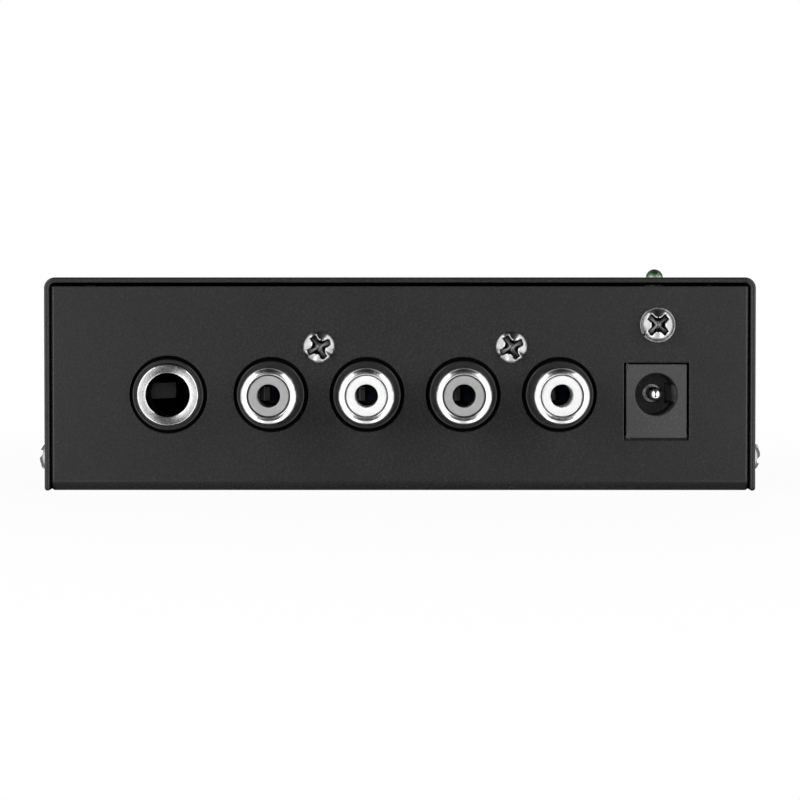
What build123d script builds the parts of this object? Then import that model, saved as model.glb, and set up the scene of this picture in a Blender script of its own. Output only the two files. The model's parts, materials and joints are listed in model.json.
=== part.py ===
from build123d import *
import os
from math import radians, sqrt, tan

# A small folded-steel phono preamp, in millimetres.
# Origin: centre of the tray's underside.  +X right, +Y back, +Z up.
# The connector panel faces -Y.

os.makedirs("parts", exist_ok=True)

# ------------------------------------------------------------------ clearances
fit_gap = 0.02  # pressed and seated pieces, per side
running_gap = 0.05  # turning and threaded pieces, per side
screw_gap = 0.2  # screw through a plain hole, per side
lead_gap = 0.1  # component lead in a board hole, per side

moulded_radius = 0.4  # corners of moulded pieces

# ---------------------------------------------------------------- folded sheet
sheet = 0.8
cover_corner_radius = 1.6
outer_lip_radius = 0.45  # lower edges of the cover's walls
inner_lip_radius = 0.33
cover_edge_radius = 0.3  # front and rear edges of the cover
side_gap = 0.14  # cover wall to tray
top_gap = 0.5  # cover to the tray's front rim
panel_recess = 0.4  # panel face behind the cover's edge
floor_bend_radius = 1.5
side_bend_radius = 0.5
inner_bend_radius = 0.1
flange_height = 10.0
return_flange = 3.6
relief_slit = 0.5

# ---------------------------------------------- row of sockets, along the panel
trs_edge_margin = 18.3  # case side to the 6.35 mm jack
trs_to_rca = 15.15
rca_pitch = 14.2
rca_pair_gap = 14.2  # second to third phono socket
rca_to_dc = 14.35
dc_edge_margin = 14.6
case_width = trs_edge_margin + trs_to_rca + 2 * rca_pitch + rca_pair_gap + rca_to_dc + dc_edge_margin
trs_x = -case_width / 2 + trs_edge_margin
output_pair_x = trs_x + trs_to_rca + rca_pitch / 2
input_pair_x = output_pair_x + rca_pitch + rca_pair_gap
dc_x = case_width / 2 - dc_edge_margin
rca_xs = [pair_x + side * rca_pitch / 2 for pair_x in (output_pair_x, input_pair_x) for side in (-1, 1)]

# --------------------------------------------------------------- upright stack
standoff_height = 5.3
board_thickness = 1.6
axis_height = 6.5  # socket axes above the board
dc_height = 11.0
dc_to_ground = 5.8
ground_to_top = 7.0
board_bottom = sheet + standoff_height
board_top = board_bottom + board_thickness
axis_z = board_top + axis_height
ground_z = board_top + dc_height + dc_to_ground
case_height = ground_z + ground_to_top

# ------------------------------------------ rows on the board, back from the panel
board_front_gap = 0.3
capacitor_row = 16.8
film_row_step = 8.0
film_pitch = 7.0
opamp_row_step = 14.0
resistor_row_step = 9.0
resistor_pitch = 3.5
resistor_rows = 3
board_rear_margin = 3.5
wiring_space = 7.3
board_rear = capacitor_row + opamp_row_step + resistor_row_step
board_rear += (resistor_rows - 1) * resistor_pitch + board_rear_margin
case_depth = 2 * (panel_recess + sheet) + board_rear + wiring_space

panel_out = -case_depth / 2 + panel_recess
panel_in = panel_out + sheet
tray_width = case_width - 2 * (sheet + side_gap)
tray_depth = case_depth - 2 * panel_recess
rim_z = case_height - sheet - top_gap

# ------------------------------------------------------------------ cover screws
cover_screw_diameter = 2.9
cover_screw_length = 4.0
cover_screw_head = 5.0
cover_screw_head_height = 1.9
cover_screw_inset = 8.0  # back from the cover's edge
cover_screw_z = 4.7
burr_wall = 0.7
burr_length = 0.8

# ------------------------------------------------------------------ board and posts
board_side_gap = 2.6  # tray wall to board edge
standoff_inset = 3.1  # board edge to post
standoff_across_flats = 5.0
standoff_spigot = 4.2
front_standoff_row = 16.8
rear_standoff_row = 46.8
board_screw_diameter = 2.4
board_screw_length = 6.0
board_screw_head = 4.4
board_screw_head_height = 1.6
lead_stub = 0.9  # leads below the board
lead_end = board_bottom - lead_stub
board_width = tray_width - 2 * (sheet + board_side_gap)
standoff_x = board_width / 2 - standoff_inset
standoff_places = [
    (side * standoff_x, panel_in + row) for row in (front_standoff_row, rear_standoff_row) for side in (-1, 1)
]

# --------------------------------------------------------------------- 6.35 mm jack
trs_body_width = 16.0
trs_body_height = 13.0
trs_body_depth = 31.0
trs_wall = 1.4
trs_collar_diameter = 10.5
trs_collar_proud = 0.7
trs_panel_gap = 0.45
trs_bushing_diameter = 9.0
trs_bushing_proud = 1.4
trs_bushing_length = 10.0
trs_bore = 6.5
trs_chamber_height = 7.2
trs_lip_radius = 0.2
trs_mouth_radius = 0.15

# ------------------------------------------------------------------- phono sockets
rca_body_side = 5.15  # socket axis to the body's side
rca_body_height = 12.8
rca_body_depth = 10.0
rca_collar_diameter = 10.0
rca_collar_proud = 0.9
rca_panel_gap = 0.5
rca_sleeve_diameter = 8.3
rca_sleeve_bore = 6.3
rca_sleeve_proud = 8.5
rca_foot_diameter = 7.8  # narrower behind the collar's face
rca_shoulder_gap = 0.1
rca_seat_depth = 2.0  # sleeve foot behind the panel
rca_lip_radius = 0.6
rca_mouth_radius = 0.25
rca_insulator_tip = 5.9
rca_insulator_recess = 0.35
rca_insulator_neck = 3.0
rca_pin_bore = 3.4
rca_chamber_height = 3.2
rca_chamber_left = 3.0
rca_chamber_right = 1.8
rca_tag_width = 2.0
rca_screw_rise = 7.0  # above the socket axes
rca_boss_width = 7.0
rca_boss_rise = 3.2
rca_screw_diameter = 2.6
rca_screw_length = 8.0
rca_screw_head = 4.7
rca_screw_head_height = 1.7

# --------------------------------------------------------------------- power socket
dc_width = 9.0
dc_corner_radius = 0.25
dc_depth = 14.4
dc_setback = 0.2  # face behind the panel's face
dc_side_gap = 0.3
dc_end_gap = 0.2
dc_bore = 6.3
dc_bore_depth = 9.5
dc_pin_diameter = 2.05
dc_pin_nose_radius = 0.82
dc_pin_setback = 1.0
dc_pin_foot = 2.8
dc_pin_foot_length = 0.5
dc_pin_tail = 1.6
dc_tag_width = 2.4
dc_tag_thickness = 0.5
dc_tag_rise = 1.2  # above the pin's axis

# ------------------------------------------------------------------- ground terminal
ground_screw_offset = 0.1  # to the right of the power socket
ground_screw_diameter = 2.9
ground_screw_length = 8.0
ground_screw_head = 4.65
ground_screw_head_height = 1.8
ground_washer_diameter = 5.15
ground_washer_bore = 3.2
ground_washer_thickness = 0.7
ground_washer_split = 0.4
ground_washer_split_angle = 215.0
ground_nut_across_flats = 5.5
ground_nut_thickness = 2.4
ground_lug_diameter = 6.2
ground_lug_thickness = 0.5
ground_lug_tail = 6.4
ground_lug_tail_width = 2.4
ground_wire_diameter = 1.2
ground_x = dc_x + ground_screw_offset

# ------------------------------------- spring leaves: leg, knee, contact and flared end
leaf_thickness = 0.3
knee_share = 0.2  # of the leaf's reach, from its leg
knee_lean = 0.1  # of the way in to the contact
leaf_bend_radius = 0.5
leaf_leg_diameter = 0.8
leg_wall_gap = 1.0  # leg to the chamber's side wall
jack_leaf_height = 2.4
rca_leaf_height = 2.0
ring_leg_step = 4.0  # behind the bushing
ring_reach = 7.0  # leg to contact
ring_contact_offset = 2.55  # contact to the jack's axis
ring_flare = 0.95
tip_leg_step = 6.5
tip_reach = 10.5
tip_contact_offset = 0.75
tip_flare = 1.35
trs_lead_in = 1.6  # contact to the flared end
dc_leg_wall_gap = 0.8
dc_leg_row = 11.8  # back from the panel's inner face
dc_reach = 6.5
dc_contact_offset = 2.9
dc_flare = 0.7
dc_lead_in = 2.3
dc_switch_gap = 0.08
dc_switch_overlap = 0.2  # post beside the leaf's lower edge
rca_leg_wall_gap = 0.8
rca_leg_row = 8.9
rca_reach = 5.1
rca_contact_offset = 0.45
rca_flare = 0.65
rca_lead_in = 1.3
tab_width = 1.0
tab_thickness = 0.4

# --------------------------------------------------------------------------- lamp
led_diameter = 2.9
led_proud = 1.8
led_body_height = 5.3
led_flange_diameter = 3.8
led_flange_thickness = 1.0
led_hole_gap = 0.15
led_from_side = 11.3
led_from_rear = 14.6
led_spacer_diameter = 4.0
led_lead_pitch = 2.54
led_x = case_width / 2 - led_from_side
led_y = case_depth / 2 - led_from_rear
led_base_z = case_height + led_proud - led_body_height

# ------------------------------------------------------------- parts on the board
lead_diameter = 0.6
opamp_width = 6.4
opamp_length = 9.3
opamp_height = 3.3
opamp_lift = 0.6
opamp_notch_radius = 0.8
opamp_notch_depth = 0.4
opamp_pin_pitch = 2.54
opamp_row_width = 7.62
opamp_pins_per_side = 4
opamp_pin_width = 0.5
opamp_pin_thickness = 0.3
opamp_xs = (-8.0, 12.0)
small_can_diameter = 5.0
small_can_height = 11.0
small_can_lead_pitch = 2.0
small_can_count = 6
small_can_spacing = 8.0
large_can_diameter = 8.0
large_can_height = 12.0
large_can_lead_pitch = 3.5
large_can_row = 20.8
large_can_xs = (28.0, 38.0)
can_rim_radius = 0.4
film_length = 7.2
film_width = 3.5
film_height = 7.5
film_lead_pitch = 5.0
film_xs = (-19.0, 2.0)
resistor_diameter = 2.4
resistor_length = 6.3
resistor_lead_pitch = 10.16
resistor_end_radius = 0.5
resistor_columns = 4
resistor_center_x = -9.0
resistor_spacing = 14.0
diode_diameter = 2.7
diode_length = 5.2
diode_lead_pitch = 12.7
diode_x = 33.0
diode_row = 29.8
regulator_diameter = 4.8
regulator_height = 4.8
regulator_flat = 1.3  # lead row to the flat face
regulator_lift = 2.0
regulator_lead_pitch = 1.27
regulator_lead_width = 0.5
regulator_lead_thickness = 0.4
regulator_x = 30.0
regulator_row = 36.8
lead_bend_radius = 0.8
axial_rest_gap = 0.2

small_can_places = [
    ((index - (small_can_count - 1) / 2) * small_can_spacing, panel_in + capacitor_row)
    for index in range(small_can_count)
]
large_can_places = [(x, panel_in + large_can_row) for x in large_can_xs]
film_places = [
    (x, panel_in + capacitor_row + film_row_step + row * film_pitch) for x in film_xs for row in range(2)
]
opamp_places = [(x, panel_in + capacitor_row + opamp_row_step) for x in opamp_xs]
resistor_places = [
    (
        resistor_center_x + (column - (resistor_columns - 1) / 2) * resistor_spacing,
        panel_in + capacitor_row + opamp_row_step + resistor_row_step + row * resistor_pitch,
    )
    for row in range(resistor_rows)
    for column in range(resistor_columns)
]
diode_place = (diode_x, panel_in + diode_row)
regulator_place = (regulator_x, panel_in + regulator_row)


# ------------------------------------------------------------------------ helpers
def facing_front(y):
    """Plane across the case at depth y, facing the connector side: local x is X, local y is Z."""
    return Plane.XZ.offset(-y)


def socket_section(x, z):
    """Plane through a socket's axis: local x is the radius, local y is Y."""
    return Plane(origin=(x, 0, z))


def socket_axis(x, z):
    """Axis of a socket, from the panel backwards."""
    return Axis((x, 0, z), (0, 1, 0))


def pair_points(places, pitch):
    """Both lead points of each place, pitch apart along X."""
    return [(x + side * pitch / 2, y) for x, y in places for side in (-1, 1)]


def rounded_block(width, depth, floor_z, top_z, floor_radius, corner_radius):
    """A block with rounded floor edges and upright corners."""
    with BuildPart() as block:
        with BuildSketch(Plane.YZ) as section:
            with Locations((0, (floor_z + top_z) / 2)):
                Rectangle(depth, top_z - floor_z)
            fillet(section.vertices().group_by(Axis.Y)[0], floor_radius)
        extrude(amount=width / 2, both=True)
        side_edges = block.faces().filter_by(Axis.X).edges()
        top_edges = block.faces().sort_by(Axis.Z)[-1].edges()
        fillet(side_edges - top_edges, corner_radius)
    return block.part


def cross_screw(head_diameter, head_height, shaft_diameter, shaft_length, turn):
    """A domed cross-recess screw on +Z; its head seats on the XY plane."""
    rim_height = 0.22 * head_height
    recess_span = 0.75 * head_diameter
    recess_slot = 0.2 * head_diameter
    recess_corner = 0.18 * head_diameter
    recess_depth = 0.62 * head_height
    head_radius = head_diameter / 2
    with BuildPart() as screw:
        with BuildSketch(Plane.XZ):
            with BuildLine():
                dome_rise = head_height - rim_height
                dome_radius = (head_radius**2 + dome_rise**2) / (2 * dome_rise)
                Polyline((0, head_height), (0, -shaft_length), (shaft_diameter / 2, -shaft_length))
                Polyline((shaft_diameter / 2, -shaft_length), (shaft_diameter / 2, 0), (head_radius, 0))
                Line((head_radius, 0), (head_radius, rim_height))
                RadiusArc((0, head_height), (head_radius, rim_height), dome_radius)
            make_face()
        revolve(axis=Axis.Z)
        with BuildSketch(Plane.XY.offset(head_height)) as recess:
            with Locations(Rotation(0, 0, turn)):
                Rectangle(recess_span, recess_slot)
                Rectangle(recess_slot, recess_span)
            fillet(recess.vertices().sort_by_distance((0, 0, 0))[:4], recess_corner)
        extrude(amount=-recess_depth, taper=8, mode=Mode.SUBTRACT)
    return screw.part


def leaf_route(x, side, leg_offset, leg_y, reach, contact_offset, flare, lead_in):
    """Plan route of a leaf beside the socket at x: leg, knee, contact and flared end.

    side is -1 for a leaf left of the axis, and a negative reach runs towards the panel.
    """
    heading = 1 if reach > 0 else -1
    knee_offset = leg_offset - knee_lean * (leg_offset - contact_offset)
    return [
        (x + side * leg_offset, leg_y),
        (x + side * knee_offset, leg_y + knee_share * reach),
        (x + side * contact_offset, leg_y + reach),
        (x + side * (contact_offset + flare), leg_y + reach + heading * lead_in),
    ]


def spring_leaf(route, height):
    """A bent strip, upright on a round leg that goes down through the board."""
    with BuildPart() as leaf:
        with BuildSketch(Plane.XY.offset(axis_z - height / 2)):
            with BuildLine():
                FilletPolyline(*route, radius=leaf_bend_radius)
            trace(line_width=leaf_thickness)
        extrude(amount=height)
        with BuildSketch(Plane.XY.offset(lead_end)):
            with Locations(route[0]):
                Circle(leaf_leg_diameter / 2)
        extrude(amount=axis_z + height / 2 - lead_end)
    return leaf.part


def axial_leads(body_length, lead_pitch, height):
    """Two bent wires of a part that lies along X, its axis at the given height above Z = 0."""
    with BuildPart() as leads:
        for side in (-1, 1):
            with BuildLine():
                FilletPolyline(
                    (side * body_length / 2, 0, height),
                    (side * lead_pitch / 2, 0, height),
                    (side * lead_pitch / 2, 0, lead_end - board_top),
                    radius=lead_bend_radius,
                )
            with BuildSketch(Plane(origin=(side * body_length / 2, 0, height), z_dir=(side, 0, 0))):
                Circle(lead_diameter / 2)
            sweep()
    return leads.part


def on_board(places):
    """Locations on the board's upper face."""
    return [Location((x, y, board_top)) for x, y in places]


# ==================================================================== the case

with BuildPart() as top_cover:
    wall_x = (case_width - sheet) / 2
    roof_z = case_height - sheet / 2
    with BuildSketch(Plane.XZ):
        with BuildLine():
            middle_radius = cover_corner_radius - sheet / 2
            corners = [(-wall_x, 0), (-wall_x, roof_z), (wall_x, roof_z), (wall_x, 0)]
            FilletPolyline(*corners, radius=middle_radius)
        trace(line_width=sheet)
    extrude(amount=case_depth / 2, both=True)
    # The walls' lower edges are rounded, most of all on the outside.
    for edge_range, radius in ((slice(2, 4), outer_lip_radius), (slice(0, 2), inner_lip_radius)):
        lower_faces = top_cover.faces().filter_by(Axis.Z).sort_by(Axis.Z)[:2]
        lower_edges = lower_faces.edges().filter_by(Axis.Y).sort_by(SortBy.DISTANCE)
        fillet(lower_edges[edge_range], radius)
    end_faces = top_cover.faces().sort_by(Axis.Y)
    fillet(end_faces[0].edges() + end_faces[-1].edges(), cover_edge_radius)
    with BuildSketch(Plane.XY.offset(case_height)):
        with Locations((led_x, led_y)):
            Circle(led_diameter / 2 + led_hole_gap)
    extrude(amount=-sheet, mode=Mode.SUBTRACT)
    cover_screw_y = case_depth / 2 - cover_screw_inset
    with BuildSketch(Plane.YZ):
        with Locations((-cover_screw_y, cover_screw_z), (cover_screw_y, cover_screw_z)):
            Circle(cover_screw_diameter / 2 + screw_gap)
    extrude(amount=case_width / 2, both=True, mode=Mode.SUBTRACT)
top_cover.part.label = "top_cover"
export_step(top_cover.part, "parts/top_cover.step")

with BuildPart() as chassis:
    add(rounded_block(tray_width, tray_depth, 0, rim_z, floor_bend_radius, side_bend_radius))
    inner_width = tray_width - 2 * sheet
    inner_depth = tray_depth - 2 * sheet
    inner_floor_radius = floor_bend_radius - sheet
    hollow = rounded_block(
        inner_width, inner_depth, sheet, case_height, inner_floor_radius, inner_bend_radius
    )
    add(hollow, mode=Mode.SUBTRACT)
    # The rear panel stands higher than the front one, follows the cover's corners and carries the cover.
    with BuildPart(mode=Mode.PRIVATE) as raised_panel:
        add(rounded_block(tray_width, tray_depth, 0, rim_z + top_gap, floor_bend_radius, side_bend_radius))
        with BuildSketch(facing_front(tray_depth / 2 - sheet)):
            with Locations((0, rim_z + top_gap - case_height / 2)):
                RectangleRounded(tray_width + side_gap, case_height, cover_corner_radius - sheet)
        extrude(amount=-sheet, mode=Mode.INTERSECT)
    add(raised_panel.part)
    # Low side flanges between the panels' return flanges, with relief slits.
    flange_reach = tray_depth / 2 - return_flange
    with BuildSketch(Plane.YZ):
        with Locations((0, (flange_height + case_height) / 2)):
            Rectangle(2 * flange_reach, case_height - flange_height)
        with Locations((-flange_reach, case_height / 2), (flange_reach, case_height / 2)):
            Rectangle(relief_slit, case_height - 2 * floor_bend_radius)
    extrude(amount=case_width / 2, both=True, mode=Mode.SUBTRACT)
    # Burred and tapped holes for the cover screws.
    flange_in = inner_width / 2
    burr_radius = cover_screw_diameter / 2 + running_gap + burr_wall
    for side in (-1, 1):
        with BuildSketch(Plane(origin=(side * flange_in, 0, 0), x_dir=(0, 1, 0), z_dir=(side, 0, 0))):
            with Locations((-cover_screw_y, side * cover_screw_z), (cover_screw_y, side * cover_screw_z)):
                Circle(burr_radius)
        extrude(amount=-burr_length)
    with BuildSketch(Plane.YZ):
        with Locations((-cover_screw_y, cover_screw_z), (cover_screw_y, cover_screw_z)):
            Circle(cover_screw_diameter / 2 + running_gap)
    extrude(amount=tray_width / 2, both=True, mode=Mode.SUBTRACT)
    # Connector panel.
    with BuildSketch(facing_front(panel_out)):
        with Locations((trs_x, axis_z)):
            Circle(trs_collar_diameter / 2 + trs_panel_gap)
        with Locations(*[(x, axis_z) for x in rca_xs]):
            Circle(rca_collar_diameter / 2 + rca_panel_gap)
        with Locations(*[(x, axis_z + rca_screw_rise) for x in (output_pair_x, input_pair_x)]):
            Circle(rca_screw_diameter / 2 + screw_gap)
        with Locations((ground_x, ground_z)):
            Circle(ground_screw_diameter / 2 + screw_gap)
        with Locations((dc_x, board_top + dc_height / 2)):
            Rectangle(dc_width + 2 * dc_side_gap, dc_height + 2 * dc_end_gap)
    extrude(amount=-sheet, mode=Mode.SUBTRACT)
    # Holes for the board's posts.
    with BuildSketch(Plane.XY):
        with Locations(*standoff_places):
            Circle(standoff_spigot / 2 + fit_gap)
    extrude(amount=sheet, mode=Mode.SUBTRACT)
chassis.part.label = "chassis"
export_step(chassis.part, "parts/chassis.step")

with BuildPart() as cover_screws:
    screw = cross_screw(
        cover_screw_head, cover_screw_head_height, cover_screw_diameter, cover_screw_length, turn=25
    )
    seats = [
        Plane(origin=(side * case_width / 2, end * cover_screw_y, cover_screw_z), z_dir=(side, 0, 0)).location
        for side in (-1, 1)
        for end in (-1, 1)
    ]
    with Locations(*seats):
        add(screw)
cover_screws.part.label = "cover_screws"
export_step(cover_screws.part, "parts/cover_screws.step")

# ================================================================== board and posts

with BuildPart() as pcb_standoffs:
    with BuildSketch(Plane.XY):
        with Locations(*standoff_places):
            Circle(standoff_spigot / 2)
    extrude(amount=sheet)
    with BuildSketch(Plane.XY.offset(sheet)):
        with Locations(*standoff_places):
            RegularPolygon(standoff_across_flats / sqrt(3), 6)
    extrude(amount=standoff_height)
    with BuildSketch(Plane.XY.offset(board_bottom)):
        with Locations(*standoff_places):
            Circle(board_screw_diameter / 2 + running_gap)
    extrude(amount=-standoff_height, mode=Mode.SUBTRACT)
pcb_standoffs.part.label = "pcb_standoffs"
export_step(pcb_standoffs.part, "parts/pcb_standoffs.step")

with BuildPart() as pcb_screws:
    screw = cross_screw(
        board_screw_head, board_screw_head_height, board_screw_diameter, board_screw_length, turn=10
    )
    with Locations(*on_board(standoff_places)):
        add(screw)
pcb_screws.part.label = "pcb_screws"
export_step(pcb_screws.part, "parts/pcb_screws.step")

# Plan routes of the spring leaves; the first point of each is its leg.
trs_front = panel_out - trs_bushing_proud
trs_bushing_rear = trs_front + trs_bushing_length
trs_leg_offset = trs_body_width / 2 - trs_wall - leg_wall_gap
tip_leg_y = trs_bushing_rear + tip_leg_step
trs_tip_route = leaf_route(
    trs_x, -1, trs_leg_offset, tip_leg_y, tip_reach, tip_contact_offset, tip_flare, trs_lead_in
)
ring_leg_y = trs_bushing_rear + ring_leg_step
trs_ring_route = leaf_route(
    trs_x, 1, trs_leg_offset, ring_leg_y, ring_reach, ring_contact_offset, ring_flare, trs_lead_in
)
dc_leg_offset = dc_width / 2 - dc_leg_wall_gap
dc_leg_y = panel_in + dc_leg_row
dc_spring_route = leaf_route(
    dc_x, 1, dc_leg_offset, dc_leg_y, -dc_reach, dc_contact_offset, dc_flare, dc_lead_in
)
rca_leg_offset = rca_chamber_left - rca_leg_wall_gap
rca_leg_y = panel_in + rca_leg_row
rca_leaf_routes = [
    leaf_route(x, -1, rca_leg_offset, rca_leg_y, -rca_reach, rca_contact_offset, rca_flare, rca_lead_in)
    for x in rca_xs
]

# Fixed contacts: the bushing's tab, the power socket's switch post and rear tag, the sleeves' tabs.
trs_tag_x = trs_x + (trs_bore + trs_bushing_diameter) / 4
trs_tag_place = (trs_tag_x, trs_bushing_rear + tab_thickness / 2)
dc_spring_end_x, dc_spring_end_y = dc_spring_route[-1]
dc_switch_x = dc_spring_end_x - (leaf_thickness + tab_thickness) / 2 - dc_switch_gap
dc_switch_place = (dc_switch_x, dc_spring_end_y - tab_width / 3)
dc_tag_y = panel_out + dc_setback + dc_depth
rca_tag_places = [(x, panel_in + rca_seat_depth + tab_thickness / 2) for x in rca_xs]
leg_places = [trs_tip_route[0], trs_ring_route[0], dc_spring_route[0]]
leg_places += [route[0] for route in rca_leaf_routes]
middle_pin = (opamp_pins_per_side - 1) / 2
opamp_pin_rows = [(index - middle_pin) * opamp_pin_pitch for index in range(opamp_pins_per_side)]
opamp_pin_places = [
    (x + side * opamp_row_width / 2, y + row)
    for x, y in opamp_places
    for side in (-1, 1)
    for row in opamp_pin_rows
]
regulator_lead_places = [
    (regulator_place[0] + step * regulator_lead_pitch, regulator_place[1]) for step in (-1, 0, 1)
]
wire_lead_places = (
    pair_points(small_can_places, small_can_lead_pitch)
    + pair_points(large_can_places, large_can_lead_pitch)
    + pair_points(film_places, film_lead_pitch)
    + pair_points(resistor_places, resistor_lead_pitch)
    + pair_points([diode_place], diode_lead_pitch)
    + pair_points([(led_x, led_y)], led_lead_pitch)
)

with BuildPart() as circuit_board:
    with BuildSketch(Plane.XY.offset(board_bottom)):
        with Locations((0, panel_in + (board_front_gap + board_rear) / 2)):
            Rectangle(board_width, board_rear - board_front_gap)
        with Locations(*standoff_places):
            Circle(board_screw_diameter / 2 + screw_gap, mode=Mode.SUBTRACT)
        with Locations(*leg_places):
            Circle(leaf_leg_diameter / 2 + lead_gap, mode=Mode.SUBTRACT)
        with Locations(*wire_lead_places, *opamp_pin_places, *regulator_lead_places):
            Circle(lead_diameter / 2 + lead_gap, mode=Mode.SUBTRACT)
        with Locations(*rca_tag_places):
            Rectangle(rca_tag_width + 2 * lead_gap, tab_thickness + 2 * lead_gap, mode=Mode.SUBTRACT)
        with Locations(trs_tag_place):
            Rectangle(tab_width + 2 * lead_gap, tab_thickness + 2 * lead_gap, mode=Mode.SUBTRACT)
        with Locations(dc_switch_place):
            Rectangle(tab_thickness + 2 * lead_gap, tab_width + 2 * lead_gap, mode=Mode.SUBTRACT)
        with Locations((dc_x, dc_tag_y + dc_tag_thickness / 2)):
            Rectangle(dc_tag_width + 2 * lead_gap, dc_tag_thickness + 2 * lead_gap, mode=Mode.SUBTRACT)
    extrude(amount=board_thickness)
circuit_board.part.label = "circuit_board"
export_step(circuit_board.part, "parts/circuit_board.step")

# ==================================================================== 6.35 mm jack

trs_center = (trs_x, axis_z)
trs_body_rear = panel_in + trs_body_depth

with BuildPart() as trs_housing:
    with BuildSketch(facing_front(panel_in)):
        with Locations((trs_x, board_top + trs_body_height / 2)):
            Rectangle(trs_body_width, trs_body_height)
    extrude(amount=-trs_body_depth)
    fillet(trs_housing.edges().filter_by(Axis.Z), moulded_radius)
    with BuildSketch(facing_front(panel_in)):
        with Locations(trs_center):
            Circle(trs_collar_diameter / 2)
    extrude(amount=sheet + trs_collar_proud)
    with BuildSketch(facing_front(panel_out - trs_collar_proud)):
        with Locations(trs_center):
            Circle(trs_bushing_diameter / 2 + fit_gap)
    extrude(amount=-(trs_bushing_rear - panel_out + trs_collar_proud), mode=Mode.SUBTRACT)
    with BuildSketch(facing_front(trs_bushing_rear)):
        with Locations(trs_center):
            Rectangle(trs_body_width - 2 * trs_wall, trs_chamber_height)
    extrude(amount=-(trs_body_rear - trs_wall - trs_bushing_rear), mode=Mode.SUBTRACT)
    with BuildSketch(Plane.XY.offset(board_top)):
        with Locations(trs_tip_route[0], trs_ring_route[0]):
            Circle(leaf_leg_diameter / 2 + running_gap)
        with Locations(trs_tag_place):
            Rectangle(tab_width + 2 * lead_gap, tab_thickness)
    extrude(amount=trs_body_height / 2, mode=Mode.SUBTRACT)
trs_housing.part.label = "trs_housing"
export_step(trs_housing.part, "parts/trs_housing.step")

with BuildPart() as trs_bushing:
    with BuildSketch(socket_section(trs_x, axis_z)) as wall:
        wall_thickness = (trs_bushing_diameter - trs_bore) / 2
        with Locations((trs_bore / 2 + wall_thickness / 2, trs_front + trs_bushing_length / 2)):
            Rectangle(wall_thickness, trs_bushing_length)
        mouth, lip = wall.vertices().group_by(Axis.Y)[0].sort_by(Axis.X)
        fillet(lip, trs_lip_radius)
        fillet(wall.vertices().sort_by_distance(mouth)[0], trs_mouth_radius)
    revolve(axis=socket_axis(trs_x, axis_z))
trs_bushing.part.label = "trs_bushing"
export_step(trs_bushing.part, "parts/trs_bushing.step")

with BuildPart() as trs_tip_spring:
    add(spring_leaf(trs_tip_route, jack_leaf_height))
trs_tip_spring.part.label = "trs_tip_spring"
export_step(trs_tip_spring.part, "parts/trs_tip_spring.step")

with BuildPart() as trs_ring_spring:
    add(spring_leaf(trs_ring_route, jack_leaf_height))
trs_ring_spring.part.label = "trs_ring_spring"
export_step(trs_ring_spring.part, "parts/trs_ring_spring.step")

with BuildPart() as trs_sleeve_contact:
    # A tab against the bushing's rear face, with its leg through the floor.
    with BuildSketch(Plane.XY.offset(lead_end)):
        with Locations(trs_tag_place):
            Rectangle(tab_width, tab_thickness)
    extrude(amount=axis_z - lead_end)
trs_sleeve_contact.part.label = "trs_sleeve_contact"
export_step(trs_sleeve_contact.part, "parts/trs_sleeve_contact.step")

# ================================================================== phono sockets

rca_seat_y = panel_in + rca_seat_depth
rca_tip_y = panel_out - rca_sleeve_proud
rca_insulator_front = rca_tip_y + rca_insulator_recess
rca_shoulder_y = panel_out - rca_collar_proud - rca_shoulder_gap

for name, pair_x in (("rca_output_housing", output_pair_x), ("rca_input_housing", input_pair_x)):
    pair = [pair_x - rca_pitch / 2, pair_x + rca_pitch / 2]
    screw_point = (pair_x, axis_z + rca_screw_rise)
    with BuildPart() as rca_housing:
        with BuildSketch(facing_front(panel_in)):
            with Locations((pair_x, board_top + rca_body_height / 2)):
                Rectangle(rca_pitch + 2 * rca_body_side, rca_body_height)
            boss_bottom = board_top + rca_body_height / 2
            boss_top = axis_z + rca_screw_rise + rca_boss_rise
            with Locations((pair_x, (boss_bottom + boss_top) / 2)):
                Rectangle(rca_boss_width, boss_top - boss_bottom)
        extrude(amount=-rca_body_depth)
        with BuildSketch(facing_front(panel_in)):
            with Locations(*[(x, axis_z) for x in pair]):
                Circle(rca_collar_diameter / 2)
        extrude(amount=sheet + rca_collar_proud)
        with BuildSketch(facing_front(rca_seat_y)):
            with Locations(*[(x, axis_z) for x in pair]):
                Circle(rca_foot_diameter / 2 + fit_gap)
        extrude(amount=rca_seat_depth + sheet + rca_collar_proud, mode=Mode.SUBTRACT)
        with BuildSketch(facing_front(rca_seat_y)):
            with Locations(*[(x + (rca_chamber_right - rca_chamber_left) / 2, axis_z) for x in pair]):
                Rectangle(rca_chamber_left + rca_chamber_right, rca_chamber_height)
        extrude(amount=-(rca_body_depth - rca_seat_depth), mode=Mode.SUBTRACT)
        with BuildSketch(facing_front(panel_in)):
            with Locations(screw_point):
                Circle(rca_screw_diameter / 2 + running_gap)
        extrude(amount=-rca_screw_length, mode=Mode.SUBTRACT)
        with BuildSketch(Plane.XY.offset(board_top)):
            with Locations(*[route[0] for route in rca_leaf_routes]):
                Circle(leaf_leg_diameter / 2 + running_gap)
        extrude(amount=axis_height, mode=Mode.SUBTRACT)
        tag_slot_height = axis_height - rca_sleeve_bore / 2
        with BuildSketch(Plane.XY.offset(board_top)):
            with Locations(*[(x, rca_seat_y + tab_thickness / 2) for x in pair]):
                Rectangle(rca_tag_width + 2 * lead_gap, tab_thickness)
        extrude(amount=tag_slot_height, mode=Mode.SUBTRACT)
    rca_housing.part.label = name
    export_step(rca_housing.part, f"parts/{name}.step")

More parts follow.
